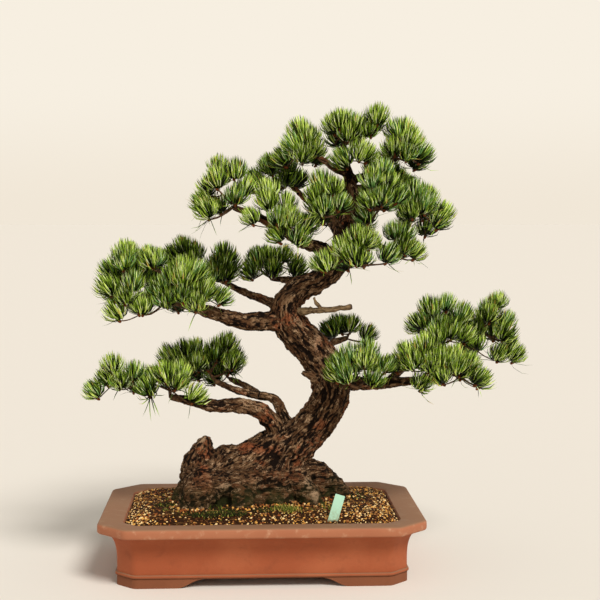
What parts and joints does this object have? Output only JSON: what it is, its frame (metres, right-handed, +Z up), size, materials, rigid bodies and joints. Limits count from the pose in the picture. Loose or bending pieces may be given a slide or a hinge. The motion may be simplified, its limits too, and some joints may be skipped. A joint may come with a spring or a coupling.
{
  "type": "japanese white pine bonsai",
  "caption": "Informal upright bonsai pine: curved trunk with flared base, tiered pads of short needles, dead stub, in a low clay tray pot with gravel soil and a blank label.",
  "frame": {"origin": "on the level surface the pot stands on, below the middle of the whole plant's spread", "axes": "+Z up, -Y towards the front of the tree, +X along the long side of the pot, to the right as seen from the front"},
  "size_m": [0.677, 0.312, 0.6921],
  "materials": {
    "clay": "unglazed red-brown clay, matt, a little worn on the rim",
    "soil": "loose gold, cream and brown gravel, matt",
    "bark": "rough fissured bark with rust-brown plates",
    "deadwood": "weathered bare wood, matt",
    "needles": "fresh green needles with pale lines, satin",
    "label": "mint green plastic, blank"
  },
  "bodies": {
    "root": {"bough_apex_left": "bark", "bough_apex_right": "bark", "bough_crown_back": "bark", "bough_crown_back_right": "bark", "bough_crown_front": "bark", "bough_crown_front_left": "bark", "bough_crown_low": "bark", "bough_crown_low_right": "bark", "bough_crown_right": "bark", "bough_elbow_rear": "bark", "bough_low_back": "bark", "bough_low_left": "bark", "bough_low_rear": "bark", "bough_mid_left": "bark", "bough_mid_left_rear": "bark", "bough_mid_rear": "bark", "bough_right": "bark", "bough_right_front": "bark", "bough_right_rear": "bark", "bough_upper_inner": "bark", "bough_upper_left": "bark", "bough_upper_rear": "bark", "foliage_apex": "needles", "foliage_apex_left": "needles", "foliage_apex_right": "needles", "foliage_crown_back": "needles", "foliage_crown_back_right": "needles", "foliage_crown_front": "needles", "foliage_crown_front_left": "needles", "foliage_crown_low": "needles", "foliage_crown_low_right": "needles", "foliage_crown_right": "needles", "foliage_elbow_rear": "needles", "foliage_low_back": "needles", "foliage_low_left": "needles", "foliage_low_rear": "needles", "foliage_mid_left": "needles", "foliage_mid_left_rear": "needles", "foliage_mid_rear": "needles", "foliage_right": "needles", "foliage_right_front": "needles", "foliage_right_rear": "needles", "foliage_upper_inner": "needles", "foliage_upper_left": "needles", "foliage_upper_rear": "needles", "foot_back_left": "clay", "foot_back_right": "clay", "foot_front_left": "clay", "foot_front_right": "clay", "jin": "deadwood", "label": "label", "pot": "clay", "soil": "soil", "trunk": "bark"}
  },
  "joints": []
}
